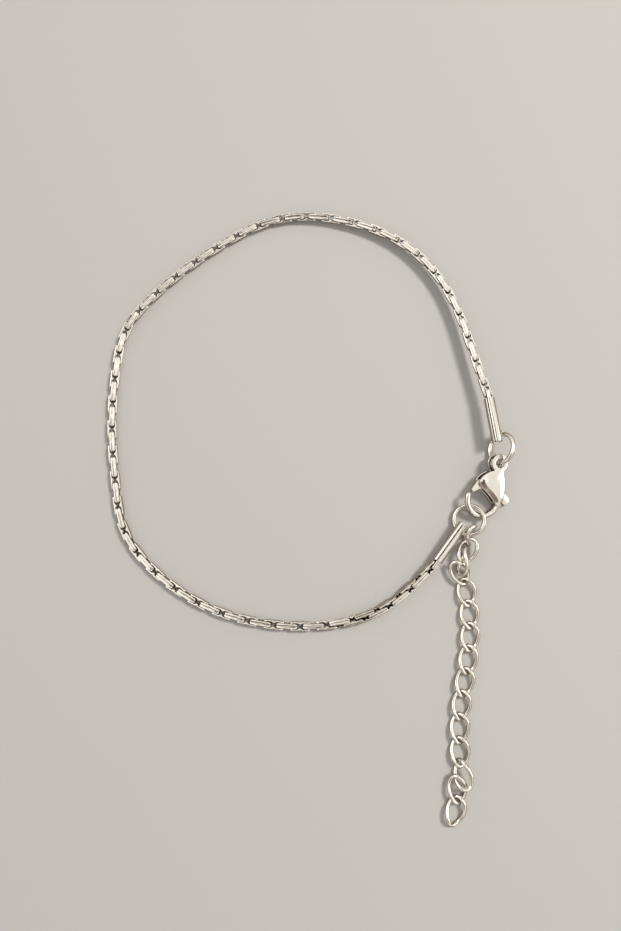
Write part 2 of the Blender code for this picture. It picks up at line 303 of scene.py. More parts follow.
def plate(outline: Sequence[Point], thickness: float, edge: float, steps: int = 3) -> Mesh:
    """Makes a flat plate, centred on its plane, with rounded edges.

    Args:
        outline: Its outline.
        thickness: Its thickness.
        edge: The radius of its edges.
        steps: How many steps round an edge.

    Returns:
        The plate's mesh.
    """
    work = bmesh.new()
    floor = work.faces.new([work.verts.new((x, y, -thickness / 2)) for x, y in outline])
    top = bmesh.ops.extrude_face_region(work, geom=[floor])["geom"]
    bmesh.ops.translate(work, vec=(0.0, 0.0, thickness), verts=[part for part in top
                                                                if isinstance(part, bmesh.types.BMVert)])
    bmesh.ops.recalc_face_normals(work, faces=work.faces)
    item = added("plate", written(work, "plate"))
    bevel = item.modifiers.new("edges", "BEVEL")
    bevel.width = edge
    bevel.segments = steps
    bevel.angle_limit = SHARP_ANGLE
    mesh = settled(item)
    mesh.shade_smooth()
    return mesh


def post(centre: Sequence[float], radius: float, height: float, sides: int = 32) -> Mesh:
    """Makes a round bar along Z.

    Args:
        centre: Its middle.
        radius: Its radius.
        height: Its length.
        sides: How many sides it has.

    Returns:
        The bar's mesh.
    """
    work = bmesh.new()
    bmesh.ops.create_cone(work, cap_ends=True, segments=sides, radius1=radius, radius2=radius, depth=height,
                          matrix=Matrix.Translation(centre))
    mesh = written(work, "post")
    mesh.shade_smooth()
    mesh.set_sharp_from_angle(angle=SHARP_ANGLE)
    return mesh


def joined(meshes: Sequence[Mesh]) -> Mesh:
    """Joins meshes.

    Args:
        meshes: The meshes, which stay as they are.

    Returns:
        One mesh that holds copies of them all.
    """
    work = bmesh.new()
    for mesh in meshes:
        work.from_mesh(mesh)
    return written(work, "joined")


@dataclass(frozen=True)
class NodeBoard:
    """A node tree that nodes are added to with their inputs wired or set."""

    tree: bpy.types.NodeTree

    def fill(self, node: bpy.types.Node, inputs: Inputs) -> bpy.types.Node:
        """Wires or sets a node's inputs.

        Args:
            node: The node.
            inputs: An output to wire, or a value to set, for each input's name or number.

        Returns:
            The same node.
        """
        for name, value in inputs.items():
            if isinstance(value, Socket):
                self.tree.links.new(value, node.inputs[name])
            else:
                node.inputs[name].default_value = value
        return node

    def add(self, kind: str, inputs: Optional[Inputs] = None, **settings: object) -> bpy.types.Node:
        """Adds a node.

        Args:
            kind: The node's type.
            inputs: What its inputs are wired or set to.
            settings: Its own settings.

        Returns:
            The node.
        """
        node = self.tree.nodes.new(kind)
        for name, value in settings.items():
            setattr(node, name, value)
        return self.fill(node, inputs or {})

    def out(self, kind: str, inputs: Optional[Inputs] = None, **settings: object) -> Socket:
        """Adds a node in the same way and gives its first output that is in use."""
        return next(socket for socket in self.add(kind, inputs, **settings).outputs if socket.enabled)

    def math(self, operation: str, first: Socket, second: object) -> Socket:
        """Works out a number from two others, the second of which is an output or a value."""
        return self.out("ShaderNodeMath", {0: first, 1: second}, operation=operation)

    def mix(self, share: Socket, first: object, second: object) -> Socket:
        """Mixes two colours.

        Args:
            share: The share of the second.
            first: The first colour, an output or its red, green and blue.
            second: The second, likewise.

        Returns:
            The mixed colour's output.
        """
        first, second = (colour if isinstance(colour, Socket) else (*colour, 1.0) for colour in (first, second))
        return self.out("ShaderNodeMix", {"Factor": share, "A": first, "B": second}, data_type="RGBA")


def shaded(name: str) -> tuple[bpy.types.Material, NodeBoard, bpy.types.Node]:
    """Makes a new material.

    Args:
        name: Its name.

    Returns:
        The material, the board of its tree and its Principled shader.
    """
    material = bpy.data.materials.new(name)
    material.use_nodes = True
    return material, NodeBoard(material.node_tree), material.node_tree.nodes["Principled BSDF"]


class PolishMarks:
    """Shader node group for the marks that polishing and wear leave on steel."""

    NAME: ClassVar[str] = "polish_marks"
    INPUTS: ClassVar[tuple[tuple[str, float], ...]] = (
        ("Cloud Scale", 400.0),
        ("Grain Scale", 9000.0),
        ("Grain Stretch", 0.2),
    )
    CLOUD_DETAIL: ClassVar[float] = 3.0
    GRAIN_DETAIL: ClassVar[float] = 2.0
    TONE_RANGE: ClassVar[tuple[float, float]] = (0.35, 0.65)

    @classmethod
    @cache
    def group(cls) -> bpy.types.NodeTree:
        """Builds the group once.

        Returns:
            The group, whose outputs are a tone, a roughness mask and a height.
        """
        tree = bpy.data.node_groups.new(cls.NAME, "ShaderNodeTree")
        for name, value in cls.INPUTS:
            tree.interface.new_socket(name, in_out="INPUT", socket_type="NodeSocketFloat").default_value = value
        for name in ("Tone", "Rub", "Height"):
            tree.interface.new_socket(name, in_out="OUTPUT", socket_type="NodeSocketFloat")
        board = NodeBoard(tree)
        given = board.add("NodeGroupInput").outputs
        place = board.add("ShaderNodeTexCoord").outputs["Object"]
        cloud = board.out("ShaderNodeTexNoise", {"Vector": place, "Scale": given["Cloud Scale"],
                                                 "Detail": cls.CLOUD_DETAIL})
        stretch = board.out("ShaderNodeCombineXYZ", {"X": given["Grain Stretch"], "Y": 1.0, "Z": 1.0})
        drawn = board.out("ShaderNodeVectorMath", {0: place, 1: stretch}, operation="MULTIPLY")
        grain = board.out("ShaderNodeTexNoise", {"Vector": drawn, "Scale": given["Grain Scale"],
                                                 "Detail": cls.GRAIN_DETAIL})
        low, high = cls.TONE_RANGE
        tone = board.out("ShaderNodeMapRange", {"Value": cloud, "From Min": low, "From Max": high})
        board.add("NodeGroupOutput", {"Tone": tone, "Rub": board.math("MULTIPLY", tone, grain), "Height": grain})
        return tree


@dataclass(frozen=True)
class SteelFinish:
    """A steel finish: its tones, its gloss, the marks on it and the shade painted into its recesses."""

    name: str
    light: Row
    dark: Row
    smooth: float
    rough: float
    grain: float
    # deep and deep_rough: the colour and roughness where shade is painted into recesses
    deep: Row = (0.018, 0.014, 0.013)
    deep_rough: float = 0.45
    cloud_scale: float = 400.0
    grain_scale: float = 9000.0
    grain_height: float = 0.02
    slot: Slot = Slot.POLISHED

    @cache
    def material(self) -> bpy.types.Material:
        """Builds the finish's material once.

        Returns:
            The material.
        """
        material, board, shader = shaded(self.name)
        marks = board.add("ShaderNodeGroup", {"Cloud Scale": self.cloud_scale, "Grain Scale": self.grain_scale},
                          node_tree=PolishMarks.group()).outputs
        # Painted shade: a point attribute mixes the colour towards deep and the roughness towards deep_rough.
        recess = board.add("ShaderNodeAttribute", attribute_name="recess").outputs["Fac"]
        colour = board.mix(recess, board.mix(marks["Tone"], self.light, self.dark), self.deep)
        gloss = board.out("ShaderNodeMapRange", {"Value": marks["Rub"], "To Min": self.smooth, "To Max": self.rough})
        dull = board.out("ShaderNodeMix", {"Factor": recess, "A": gloss, "B": self.deep_rough})
        bump = board.out("ShaderNodeBump", {"Strength": self.grain, "Distance": self.grain_height * MM,
                                            "Height": marks["Height"]})
        board.fill(shader, {"Metallic": 1.0, "Base Color": colour, "Roughness": dull, "Normal": bump})
        return material


MIRROR_STEEL = SteelFinish("mirror_steel", (0.71, 0.695, 0.665), (0.66, 0.645, 0.615), 0.12, 0.18, 0.02)
LINK_STEEL = SteelFinish("link_steel", (0.73, 0.71, 0.675), (0.64, 0.62, 0.585), 0.10, 0.22, 0.12)
WIRE_STEEL = SteelFinish("wire_steel", (0.80, 0.785, 0.745), (0.71, 0.695, 0.655), 0.07, 0.17, 0.20,
                         grain_scale=4500.0)
TUMBLED_STEEL = SteelFinish("tumbled_steel", (0.72, 0.705, 0.66), (0.64, 0.625, 0.58), 0.18, 0.30, 0.30,
                            slot=Slot.SATIN)


def finished(name: str, mesh: Mesh, finish: SteelFinish, nodes: Sequence[str],
             body: str = MAIN_BODY) -> bpy.types.Object:
    """Turns a mesh in millimetres into a finished piece.

    Args:
        name: The piece's name.
        mesh: Its mesh, in place.
        finish: Its finish.
        nodes: The nodes of the model that it stands for.
        body: The body that it rides on.

    Returns:
        The piece.
    """
    mesh.transform(Matrix.Scale(MM, 4))
    mesh.name = name
    mesh.materials.clear()
    mesh.materials.append(finish.material())
    mesh.polygons.foreach_set("material_index", [0] * len(mesh.polygons))
    item = added(name, mesh)
    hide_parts(*nodes)
    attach(item, body)
    log.info("%s: %d faces", name, len(mesh.polygons))
    return item


class LinkTree:
    """Geometry Nodes tree that sets copies of a link on a row of points."""

    NAME: ClassVar[str] = "links_on_points"
    INPUTS: ClassVar[tuple[tuple[str, str], ...]] = (
        ("Geometry", "NodeSocketGeometry"),
        ("Link", "NodeSocketObject"),
        ("Turn Between Links", "NodeSocketFloat"),
        ("Looseness", "NodeSocketFloat"),
        ("Seed", "NodeSocketInt"),
        ("Finish", "NodeSocketMaterial"),
    )
    POINT_VALUES: ClassVar[tuple[tuple[str, str], ...]] = (("along", "FLOAT_VECTOR"), ("roll", "FLOAT"))

    @classmethod
    @cache
    def tree(cls) -> bpy.types.NodeTree:
        """Builds the tree once.

        Returns:
            The tree. Its points carry an "along" vector and a "roll" angle.
        """
        tree = bpy.data.node_groups.new(cls.NAME, "GeometryNodeTree")
        for name, kind in cls.INPUTS:
            tree.interface.new_socket(name, in_out="INPUT", socket_type=kind)
        tree.interface.new_socket("Geometry", in_out="OUTPUT", socket_type="NodeSocketGeometry")
        board = NodeBoard(tree)
        given = board.add("NodeGroupInput").outputs
        along, roll = (board.out("GeometryNodeInputNamedAttribute", {"Name": name}, data_type=kind)
                       for name, kind in cls.POINT_VALUES)
        forward = board.out("FunctionNodeAlignRotationToVector", {"Vector": along}, axis="X")
        upright = board.out("FunctionNodeAlignRotationToVector", {"Rotation": forward, "Vector": (0.0, 0.0, 1.0)},
                            axis="Z", pivot_axis="X")
        odd = board.math("MODULO", board.out("GeometryNodeInputIndex"), 2.0)
        quarter = board.math("MULTIPLY", odd, given["Turn Between Links"])
        least = board.math("MULTIPLY", given["Looseness"], -1.0)
        chance = board.out("FunctionNodeRandomValue", {"Min": least, "Max": given["Looseness"],
                                                       "Seed": given["Seed"]}, data_type="FLOAT")
        total = board.math("ADD", board.math("ADD", roll, quarter), chance)
        angle = board.out("FunctionNodeAxisAngleToRotation", {"Axis": (1.0, 0.0, 0.0), "Angle": total})
        rolled = board.out("FunctionNodeRotateRotation", {"Rotation": upright, "Rotate By": angle},
                           rotation_space="LOCAL")
        shape = board.add("GeometryNodeObjectInfo", {"Object": given["Link"]}).outputs["Geometry"]
        copies = board.out("GeometryNodeInstanceOnPoints", {"Points": given["Geometry"], "Instance": shape,
                                                            "Rotation": rolled})
        real = board.out("GeometryNodeRealizeInstances", {"Geometry": copies})
        dressed = board.out("GeometryNodeSetMaterial", {"Geometry": real, "Material": given["Finish"]})
        board.add("NodeGroupOutput", {"Geometry": dressed})
        return tree

    @classmethod
    def links(cls, link: Mesh, places: Sequence[tuple[Vector, Vector, float]], turn: float,
              looseness: float, seed: int, finish: SteelFinish) -> Mesh:
        """Sets links on places and makes them a plain mesh.

        Args:
            link: The link, its length along X.
            places: The middle, direction and roll in degrees of each link.
            turn: Degrees that every second link is turned further.
            looseness: The most that a link is turned by chance, in degrees.
            seed: The seed of that chance.
            finish: The links' finish.

        Returns:
            All the links in one mesh.
        """
        tree = cls.tree()
        row = bpy.data.meshes.new("row")
        row.from_pydata([tuple(middle) for middle, _, _ in places], [], [])
        along, roll = (row.attributes.new(name, kind, "POINT").name for name, kind in cls.POINT_VALUES)
        row.attributes[along].data.foreach_set("vector", [value for _, heading, _ in places
                                                          for value in heading.normalized()])
        row.attributes[roll].data.foreach_set("value", [math.radians(angle) for _, _, angle in places])
        shape = added("link", link)
        item = added("links", row)
        maker = item.modifiers.new("links", "NODES")
        maker.node_group = tree
        values = {"Link": shape, "Turn Between Links": math.radians(turn), "Looseness": math.radians(looseness),
                  "Seed": seed, "Finish": finish.material()}
        for socket in tree.interface.items_tree:
            if socket.in_out == "INPUT" and socket.name in values:
                maker[socket.identifier] = values[socket.name]
        mesh = settled(item)
        bpy.data.objects.remove(shape)
        return mesh


@dataclass
class Route:
    """A smooth line through rows of places, read at even steps."""

    rows: Sequence[Row]
    samples: int = 4000

    def stops(self, count: int) -> np.ndarray:
        """Reads the line at even distances.

        Args:
            count: How many stops there are, with both ends.

        Returns:
            The rows at the stops.
        """
        rows = np.array(self.rows)
        knots = np.concatenate(([0.0], np.cumsum(np.linalg.norm(np.diff(rows[:, :2], axis=0), axis=1))))
        gaps = np.diff(knots)
        slopes = np.diff(rows, axis=0) / gaps[:, None]
        system, changes = np.eye(len(rows)), np.zeros_like(rows)
        for index in range(1, len(rows) - 1):
            before, after = gaps[index - 1], gaps[index]
            system[index, index - 1:index + 2] = before, 2 * (before + after), after
            changes[index] = 6 * (slopes[index] - slopes[index - 1])
        bends = np.linalg.solve(system, changes)
        places = np.linspace(0.0, knots[-1], self.samples)
        spans = np.clip(np.searchsorted(knots, places) - 1, 0, len(gaps) - 1)
        gap = gaps[spans][:, None]
        after = (places - knots[spans])[:, None] / gap
        before = 1.0 - after
        line = (before * rows[spans] + after * rows[spans + 1]
                + gap ** 2 / 6 * ((before ** 3 - before) * bends[spans] + (after ** 3 - after) * bends[spans + 1]))
        width = min(3, line.shape[1])
        travelled = np.concatenate(([0.0], np.cumsum(np.linalg.norm(np.diff(line[:, :width], axis=0), axis=1))))
        return np.column_stack([np.interp(np.linspace(0.0, travelled[-1], count), travelled, column)
                                for column in line.T])


@dataclass
class EndTube:
    """A rolled tube over the end of the chain, with an ear for its ring."""

    name: str
    heading: float
    rise: float
    ear: float
    seam: float
    length: float = 6.1
    radius: float = 0.70
    wall: float = 0.16
    gap: float = 0.16
    lip: float = 0.05
    mouth_gap: float = 0.20
    ear_radius: float = 0.49
    ear_width: float = 0.26
    ear_thickness: float = 0.24
    ear_corner: float = 0.09
    ear_steps: int = 40
    ear_reach: float = 1.22
    ear_from_end: float = 1.06
    sides: int = 56
    lip_steps: int = 6
    mouth: Sequence[Point] = ((0.0, 1.0), (0.3, 0.3), (1.0, 0.0), (3.0, 0.0))  # along and inset, in lips

    def place(self, chain_end: Vector) -> Matrix:
        """Finds the tube's frame.

        Args:
            chain_end: The outer end of the chain's last link.

        Returns:
            The frame, with its origin at the tube's mouth.
        """
        along = direction(self.heading, self.rise)
        return placed(chain_end + along * self.mouth_gap, along)

    def section(self, inset: float) -> list[Point]:
        """Draws the rolled sheet seen from the end.

        Args:
            inset: How far its faces are drawn in.

        Returns:
            Its points, with the seam at the first axis.
        """
        half = math.degrees(self.gap / 2 / self.radius)
        wall = self.wall / 2 - inset
        middle = self.radius - self.wall / 2
        lip = math.degrees(self.wall / 2 / self.radius)
        outer = arc((0.0, 0.0), middle + wall, half + lip, 360.0 - half - lip, self.sides)
        inner = arc((0.0, 0.0), middle - wall, 360.0 - half - lip, half + lip, self.sides)
        low = on_circle((0.0, 0.0), middle, -half - lip)
        turn = math.degrees(math.atan2(low[1], low[0]))
        low_lip = arc(low, wall, turn, turn + 180.0, self.lip_steps)[1:-1]
        high_lip = arc((low[0], -low[1]), wall, 180.0 - turn, 360.0 - turn, self.lip_steps)[1:-1]
        return outer + low_lip + inner + high_lip

    def mesh(self) -> Mesh:
        """Builds the tube and its ear.

        Returns:
            The mesh, from the mouth along X.
        """
        near = [(along * self.lip, inset * self.lip) for along, inset in self.mouth]
        stations = near + [(self.length - along, inset) for along, inset in reversed(near)]
        seam = turned(self.seam, "X") @ turned(90.0, "Y")
        sections = [[seam @ Vector((x, y, along)) for x, y in self.section(inset)] for along, inset in stations]
        barrel = loft(sections, closed=False)
        barrel.set_sharp_from_angle(angle=SHARP_ANGLE)
        rim = rounded_section(self.ear_width, self.ear_thickness, self.ear_corner)
        spins = [turned(360.0 / self.ear_steps * step, "Z") for step in range(self.ear_steps)]
        ear = loft([[spin @ Vector((self.ear_radius + u, 0.0, v)) for u, v in rim] for spin in spins], closed=True)
        ear.transform(turned(self.ear, "X")
                      @ Matrix.Translation((self.length - self.ear_from_end, 0.0, -self.ear_reach))
                      @ turned(90.0, "X"))
        return joined([barrel, ear])


@dataclass
class MainChain:
    """The main chain of long box links, and the tubes over its ends."""

    rows: Sequence[Row] = (
        # x, y, height, twist
        (24.63, 14.77, 2.40, -9.0),
        (22.96, 20.57, 2.05, -9.0),
        (20.03, 29.17, 1.60, -12.0),
        (14.13, 36.47, 1.25, -16.0),
        (5.43, 40.40, 0.95, -23.0),
        (-4.22, 40.74, 0.72, -28.0),
        (-12.67, 36.70, 0.70, -26.0),
        (-21.97, 29.12, 0.70, -25.0),
        (-25.50, 24.32, 0.70, -22.0),
        (-26.74, 18.47, 0.69, -18.0),
        (-26.96, 9.97, 0.675, -14.0),
        (-26.07, 1.72, 0.64, -7.0),
        (-24.72, -3.93, 0.61, 0.0),
        (-21.27, -8.58, 0.60, 0.0),
        (-11.72, -14.68, 0.60, 0.0),
        (-6.23, -16.11, 0.60, 0.0),
        (-0.92, -16.57, 0.61, 0.0),
        (4.53, -16.18, 0.67, -27.0),
        (9.78, -14.43, 0.84, -60.0),
        (16.88, -8.45, 1.46, -70.0),
    )
    count: int = 84
    length: float = 2.88
    width: float = 1.2
    strip: float = 0.70
    strip_at_turn: float = 0.36
    rail: float = 0.24
    crown: float = 0.035
    bulge: float = 0.24
    bulge_reach: float = 0.19
    corner: float = 0.22
    bore_corner: float = 0.10
    corner_steps: int = 4
    long_side_stops: int = 9
    gather: float = 0.1
    # dark_inset and dark_reach: where the shade painted at the link's ends begins and how far from the ends it
    # reaches, in corner radii
    dark_inset: float = 0.3
    dark_reach: float = 0.9
    play: float = 0.03
    looseness: float = 2.5
    seed: int = 7
    stub_width: float = 0.86
    stub_strip: float = 0.50
    outer_profile: Sequence[Row] = (
        # depth and height as shares of the strip, painted shade
        (0.34, 0.500, 0.0),
        (0.12, 0.490, 0.0),
        (0.03, 0.445, 0.0),
        (0.00, 0.370, 0.0),
        (0.01, 0.260, 0.0),
        (0.03, 0.160, 0.0),
        (0.07, 0.085, 0.0),
        (0.12, 0.040, 0.2),
        (0.15, 0.000, 0.4),
    )
    inner_profile: Sequence[Row] = (
        (1.00, 0.000, 1.0),
        (1.00, 0.400, 1.0),
        (0.93, 0.465, 0.5),
        (0.74, 0.500, 0.0),
    )
    top_tube: EndTube = field(default_factory=lambda: EndTube("end_tube_top", -81.9, 1.8, 55.0, 220.0))
    low_tube: EndTube = field(default_factory=lambda: EndTube("end_tube_low", 53.9, 4.5, -12.0, 168.0))

    def loop(self, half_length: float, half_width: float, corner: float) -> list[Vector]:
        """Draws a round-cornered rectangle with the same points at every size.

        Args:
            half_length: Half its length, along X.
            half_width: Half its width, along Y.
            corner: The radius of its corners.

        Returns:
            Its points, with some between the corners along each side.
        """
        points = []
        signs = ((1, 1), (-1, 1), (-1, -1), (1, -1))
        for quarter, (side_x, side_y) in enumerate(signs):
            centre = (side_x * (half_length - corner), side_y * (half_width - corner))
            end = 90.0 * (quarter + 1)
            points += flat(arc(centre, corner, 90.0 * quarter, end, self.corner_steps))
            follow_x, follow_y = signs[(quarter + 1) % 4]
            near = points[-1]
            following = (follow_x * (half_length - corner), follow_y * (half_width - corner))
            far = Vector((*on_circle(following, corner, end), 0.0))
            stops = 1 if quarter % 2 else self.long_side_stops
            for stop in range(1, stops + 1):
                share = stop / (stops + 1)
                points.append(near.lerp(far, share + self.gather * math.sin(2 * math.pi * share)))
        return points

    def profile(self) -> list[Row]:
        """Draws the strip's section.

        Returns:
            The depth from the outside, height and painted shade of its points, all the way round.
        """
        below = [(depth, -height, recess) for depth, height, recess in self.outer_profile[-2::-1]]
        above = [(depth, height, recess) for depth, height, recess in self.inner_profile[1:]]
        inner = [(depth, -height, recess) for depth, height, recess in self.inner_profile[:0:-1]]
        return list(self.outer_profile) + below + inner + [self.inner_profile[0]] + above

    def spread(self, x: float) -> float:
        """Narrows the strip towards the link's ends, so that they are round.

        Args:
            x: A place along the link.

        Returns:
            The share of the strip's height that is left there.
        """
        past = (abs(x) - (self.length - self.strip) / 2) / (self.strip / 2)
        least = self.strip_at_turn / self.strip
        return max(math.sqrt(max(1.0 - max(past, 0.0) ** 2, 0.0)), least)

    def link(self, pitch: float) -> Mesh:
        """Builds one link from a grooved strip, thicker at the middle of its long sides, with shade painted in its
        groove, on its inner faces and at its ends.

        Args:
            pitch: The distance from a link to the next.

        Returns:
            The link's mesh, with its length along X and its opening along Z.
        """
        half_length, half_width = self.length / 2, self.width / 2
        hole = pitch / 2 + self.play
        outer = self.loop(half_length, half_width, self.corner)
        inner = self.loop(hole, half_width - self.rail, self.bore_corner)
        profile = self.profile()
        sections, painted_shades = [], []
        for near, far in zip(inner, outer):
            # Painted shade at the link's ends, growing from the corners inwards along the short sides.
            sunk = (half_width - abs(far.y) - self.dark_inset * self.corner) / ((1.0 - self.dark_inset) * self.corner)
            if abs(far.x) < half_length - self.dark_reach * self.corner:
                sunk = 0.0
            painted_shades += [max(deep, min(sunk, 1.0)) for _, _, deep in profile]
            if abs(far.y) > half_width - SNAP:
                near.y -= math.copysign(self.bulge * math.exp(-(near.x / self.bulge_reach) ** 2), near.y)
            far.y -= math.copysign(self.crown * (far.x / half_length) ** 2, far.y)
            section = []
            for depth, height, _ in profile:
                point = far.lerp(near, depth)
                section.append(point + Vector((0.0, 0.0, self.strip * height * self.spread(point.x))))
            sections.append(section)
        mesh = loft(sections, closed=True)
        # Painted shade for each point, which the steel's material reads.
        recess = mesh.attributes.new("recess", "FLOAT", "POINT")
        recess.data.foreach_set("value", painted_shades)
        return mesh

    def build(self) -> None:
        """Builds the chain and its two tubes."""
        joints = Route(self.rows).stops(self.count + 1)
        steps = np.diff(joints[:, :3], axis=0)
        pitch = float(np.linalg.norm(steps, axis=1).mean())
        places = [(Vector((joints[index, :3] + joints[index + 1, :3]) / 2), Vector(step),
                   float(joints[index, 3] + joints[index + 1, 3]) / 2) for index, step in enumerate(steps)]
        chain = LinkTree.links(self.link(pitch), places, 90.0, self.looseness, self.seed, LINK_STEEL)
        overhang = (self.length / pitch - 1.0) / 2
        ends = (self.top_tube.place(Vector(joints[0, :3] - steps[0] * overhang)),
                self.low_tube.place(Vector(joints[-1, :3] + steps[-1] * overhang)))
        stub = replace(self, width=self.stub_width, strip=self.stub_strip, bulge=0.0).link(pitch)
        stubs = []
        for end, roll in zip(ends, (90.0 - self.rows[0][3], self.rows[-1][3])):
            stubs.append(stub.copy())
            inset = Matrix.Translation((pitch - self.length / 2 - self.top_tube.mouth_gap, 0.0, 0.0))
            stubs[-1].transform(end @ inset @ turned(roll, "X"))
        finished("main_chain", joined([chain, *stubs]), LINK_STEEL, ["cobra_chain"])
        for tube, end in zip((self.top_tube, self.low_tube), ends):
            mesh = tube.mesh()
            mesh.transform(end)
            finished(f"{tube.name}_rolled", mesh, MIRROR_STEEL, [tube.name])


@dataclass
class JumpRing:
    """A round wire ring, cut once."""

    name: str
    centre: Row
    lean: float
    nod: float
    cut: float
    radius: float = 2.0
    wire: float = 0.55
    cut_angle: float = 1.2
    cut_share: float = 0.9
    steps: int = 96
    sides: int = 20

    def build(self) -> None:
        """Builds the ring."""
        turn = 360.0 - self.cut_angle
        route = flat(arc((0.0, 0.0), self.radius, self.cut, self.cut + turn, self.steps))
        radii = [self.wire / 2] * len(route)
        radii[0] = radii[-1] = self.wire / 2 * self.cut_share
        mesh = round_wire(route, Vector(), radii, self.sides, closed=False)
        mesh.transform(Matrix.Translation(self.centre) @ turned(-self.lean, "Y") @ turned(self.nod, "X"))
        finished(f"{self.name}_wire", mesh, WIRE_STEEL, [self.name])


